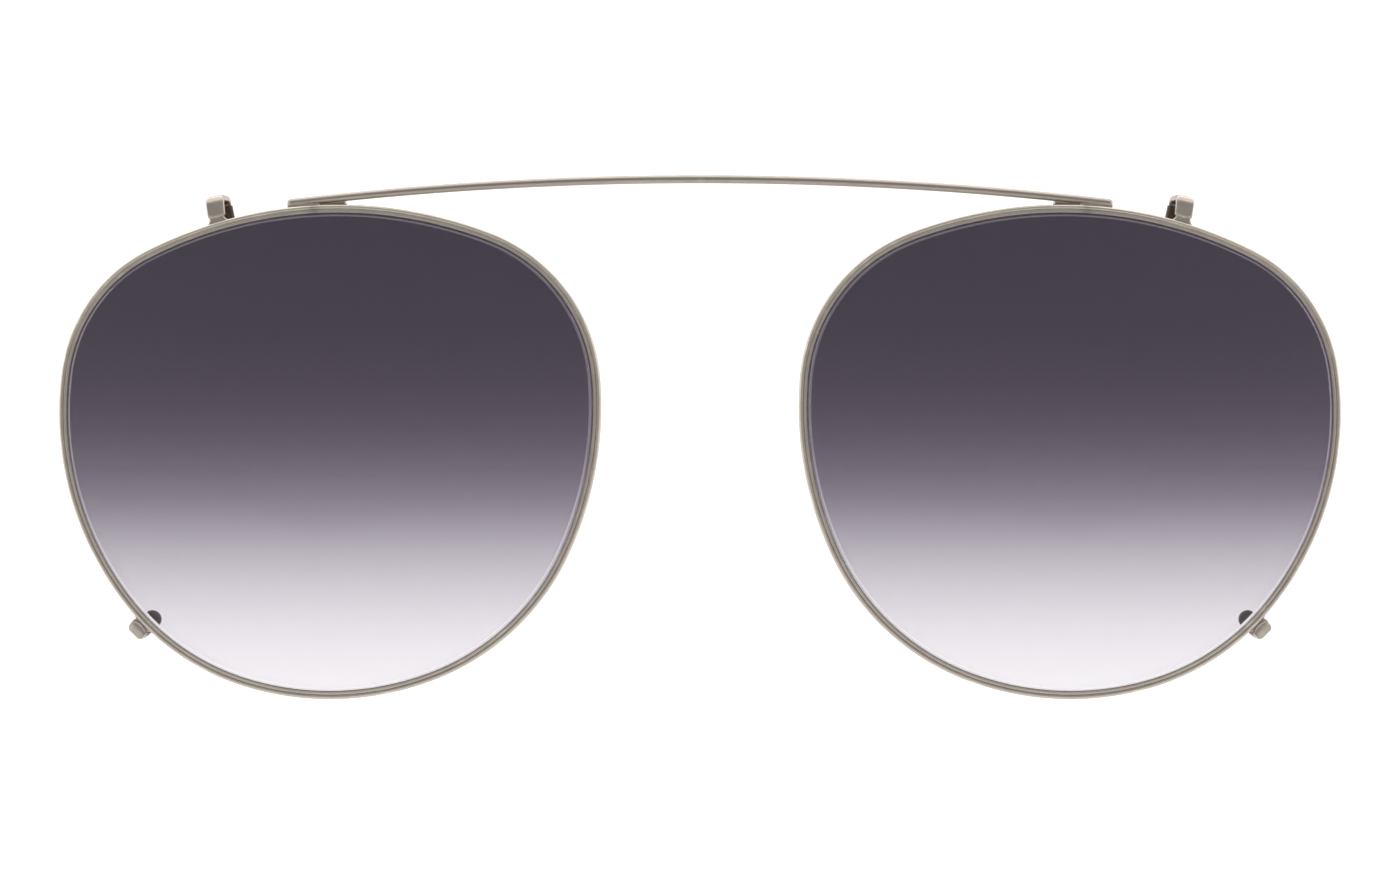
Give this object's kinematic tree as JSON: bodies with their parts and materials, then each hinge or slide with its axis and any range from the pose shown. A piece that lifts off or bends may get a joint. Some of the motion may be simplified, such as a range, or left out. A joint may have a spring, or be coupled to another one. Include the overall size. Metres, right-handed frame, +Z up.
{
  "type": "clip-on sun lens attachment",
  "caption": "Clip-on tinted lens pair for spectacles: rimmed gradient lenses on a sprung bridge bar, with sleeved claws that hook behind the frame.",
  "frame": {"origin": "midway between the two lenses, on the line through their middles, at mid depth of the rim wire where the bar meets it", "axes": "+X along the bar to the right as seen from the front, +Y from the front towards the wearer, +Z up"},
  "size_m": [0.1226, 0.0089, 0.05],
  "materials": {
    "spring_bar": "matte antique silver",
    "rim_wire": "matte antique silver",
    "block_metal": "matte antique silver",
    "claw_strip": "matte antique silver",
    "screw_steel": "turned steel",
    "tinted_lens": "polished, tint fading downwards",
    "sleeve_rubber": "soft satin"
  },
  "bodies": {
    "bridge": {"bridge_bar": "spring_bar"},
    "left_lens": {"rim_left": "rim_wire", "lens_left": "tinted_lens", "closing_block_outer_left": "block_metal", "closing_block_inner_left": "block_metal", "closing_screw_left": "screw_steel", "claw_upper_left": "claw_strip", "claw_lower_left": "claw_strip", "claw_sleeve_upper_left": "sleeve_rubber", "claw_sleeve_lower_left": "sleeve_rubber"},
    "right_lens": {"rim_right": "rim_wire", "lens_right": "tinted_lens", "closing_block_outer_right": "block_metal", "closing_block_inner_right": "block_metal", "closing_screw_right": "screw_steel", "claw_upper_right": "claw_strip", "claw_lower_right": "claw_strip", "claw_sleeve_upper_right": "sleeve_rubber", "claw_sleeve_lower_right": "sleeve_rubber"}
  },
  "joints": [
    {"name": "bar_flex_left", "type": "hinge", "parent": "bridge", "child": "left_lens", "pos_m": [-0.017, -0.00079, 0.02558], "axis": [0, 1, 0], "range_deg": [-1.5, 4], "stiffness_Nm_per_rad": 0.06, "deforming": ["bridge_bar"]},
    {"name": "bar_flex_right", "type": "hinge", "parent": "bridge", "child": "right_lens", "pos_m": [0.017, -0.00079, 0.02558], "axis": [0, -1, 0], "range_deg": [-1.5, 4], "stiffness_Nm_per_rad": 0.06, "deforming": ["bridge_bar"]}
  ]
}
